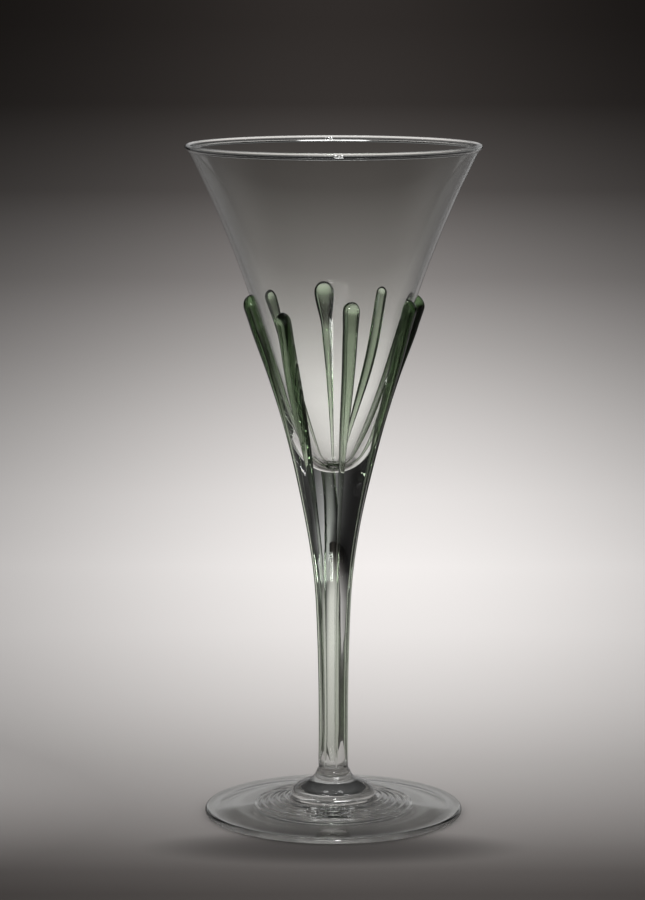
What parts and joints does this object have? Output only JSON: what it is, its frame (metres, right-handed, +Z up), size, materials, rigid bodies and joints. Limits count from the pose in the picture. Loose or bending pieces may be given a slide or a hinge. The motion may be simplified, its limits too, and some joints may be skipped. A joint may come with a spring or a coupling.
{
  "type": "stemmed glass",
  "caption": "Hand-blown stemmed drinking glass: clear trumpet bowl, drawn stem, wide low foot, and green glass tears that run from the bowl down the stem.",
  "frame": {"origin": "on the table under the middle of the foot", "axes": "+Z up the stem to the mouth of the bowl, -Y towards the viewer, +X to the viewer's right"},
  "size_m": [0.0978, 0.0978, 0.225],
  "materials": {
    "clear_glass": "clear colourless glass, fire-polished",
    "green_glass": "transparent green glass, fire-polished"
  },
  "bodies": {
    "root": {"bowl": "clear_glass", "stem": "clear_glass", "merese": "clear_glass", "foot": "clear_glass", "tear_1": "green_glass", "tear_2": "green_glass", "tear_3": "green_glass", "tear_4": "green_glass", "tear_5": "green_glass", "tear_6": "green_glass", "tear_7": "green_glass", "tear_8": "green_glass"}
  },
  "joints": []
}
